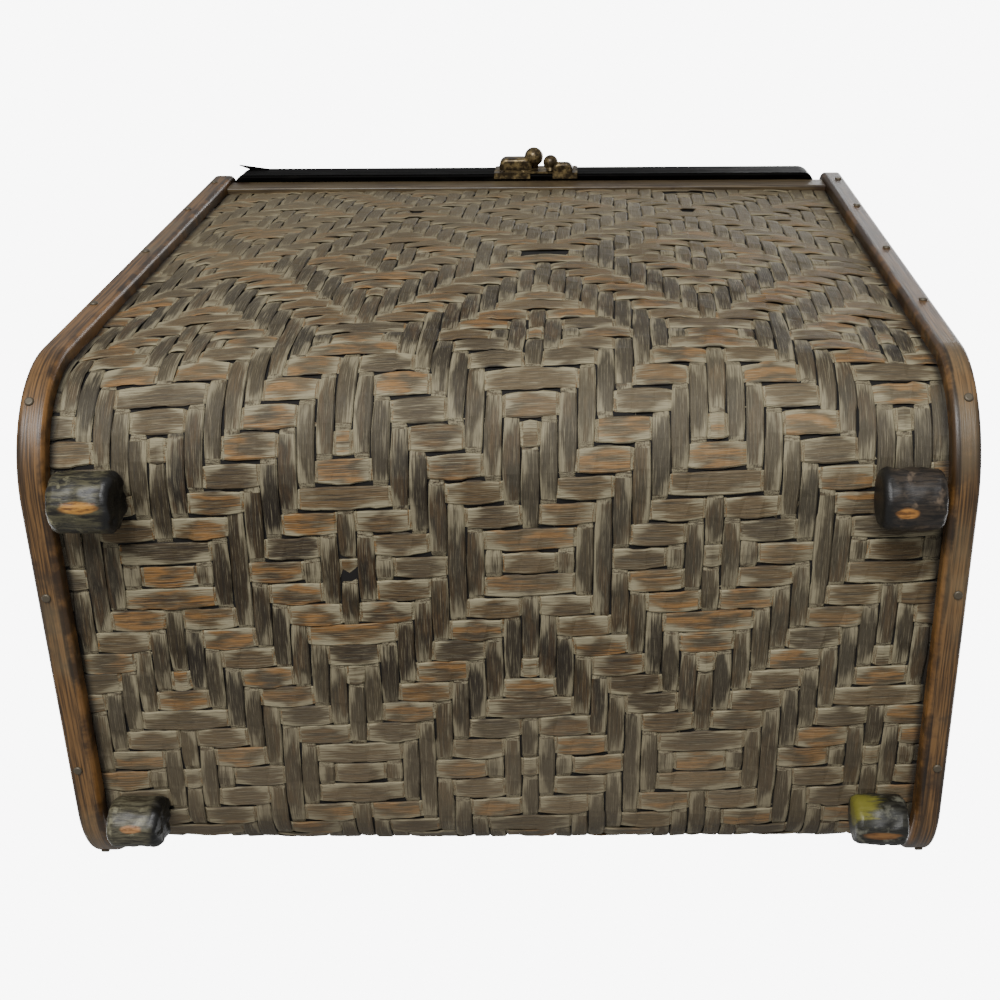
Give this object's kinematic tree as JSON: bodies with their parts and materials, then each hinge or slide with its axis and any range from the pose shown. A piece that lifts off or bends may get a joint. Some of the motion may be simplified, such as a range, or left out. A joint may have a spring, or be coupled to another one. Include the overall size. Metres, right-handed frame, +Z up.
{
  "type": "woven box bag",
  "caption": "Upright woven bamboo box bag with wooden edge hoops, peg feet, a framed hinged lid, a ball clasp and a bail handle.",
  "frame": {"origin": "on the ground under the middle of the bag, centre of the bounding box", "axes": "+Z up, standing on its feet; the front with the clasp faces -Y; +X is to the right seen from the front"},
  "size_m": [0.28, 0.1918, 0.304],
  "materials": {
    "woven_bamboo": "aged matt split bamboo",
    "hoop_wood": "worn varnished cane with dark stains",
    "plain_wood": "plain dry wood",
    "split_bamboo": "thin bamboo strip, lightly varnished",
    "black_lacquer": "black lacquer on wood, worn grey at the edges",
    "painted_peg": "dark green-grey paint, crackled and worn through",
    "handle_cane": "varnished cane",
    "aged_brass": "aged brass with a brown film",
    "steel_nail": "dull steel"
  },
  "bodies": {
    "case": {"back_binding_strip": "split_bamboo", "back_inner_strip": "plain_wood", "back_rail": "black_lacquer", "clasp_lower_nails": "steel_nail", "clasp_lower_plate": "aged_brass", "foot_back_left": "painted_peg", "foot_back_right": "painted_peg", "foot_front_left": "painted_peg", "foot_front_right": "painted_peg", "foot_nails": "steel_nail", "frame_hoop_left": "plain_wood", "frame_hoop_right": "plain_wood", "front_binding_strip": "split_bamboo", "front_inner_strip": "plain_wood", "front_rail": "black_lacquer", "hinge_case_screws": "aged_brass", "hinge_left_case_leaf": "aged_brass", "hinge_left_pin": "aged_brass", "hinge_right_case_leaf": "aged_brass", "hinge_right_pin": "aged_brass", "hoop_brads_left": "steel_nail", "hoop_brads_right": "steel_nail", "outer_hoop_left": "hoop_wood", "outer_hoop_right": "hoop_wood", "panel_tacks_left": "steel_nail", "panel_tacks_right": "steel_nail", "side_panel_left": "woven_bamboo", "side_panel_right": "woven_bamboo", "woven_mat": "woven_bamboo"},
    "lid": {"clasp_upper_nails": "steel_nail", "clasp_upper_plate": "aged_brass", "handle_bracket_left": "aged_brass", "handle_bracket_right": "aged_brass", "handle_bracket_screws": "aged_brass", "handle_pin_left": "aged_brass", "handle_pin_right": "aged_brass", "hinge_left_lid_leaf": "aged_brass", "hinge_lid_screws": "aged_brass", "hinge_right_lid_leaf": "aged_brass", "lid_frame": "black_lacquer", "lid_panel": "woven_bamboo", "lid_retaining_ring": "plain_wood"},
    "handle": {"handle": "handle_cane"}
  },
  "joints": [
    {"name": "lid_hinge", "type": "hinge", "parent": "case", "child": "lid", "pos_m": [0, 0.0934, 0.2839], "axis": [-1, 0, 0], "range_deg": [0, 105]},
    {"name": "handle_swing", "type": "hinge", "parent": "lid", "child": "handle", "pos_m": [0, 0.0024, 0.29955], "axis": [1, 0, 0], "range_deg": [0, 180]}
  ]
}
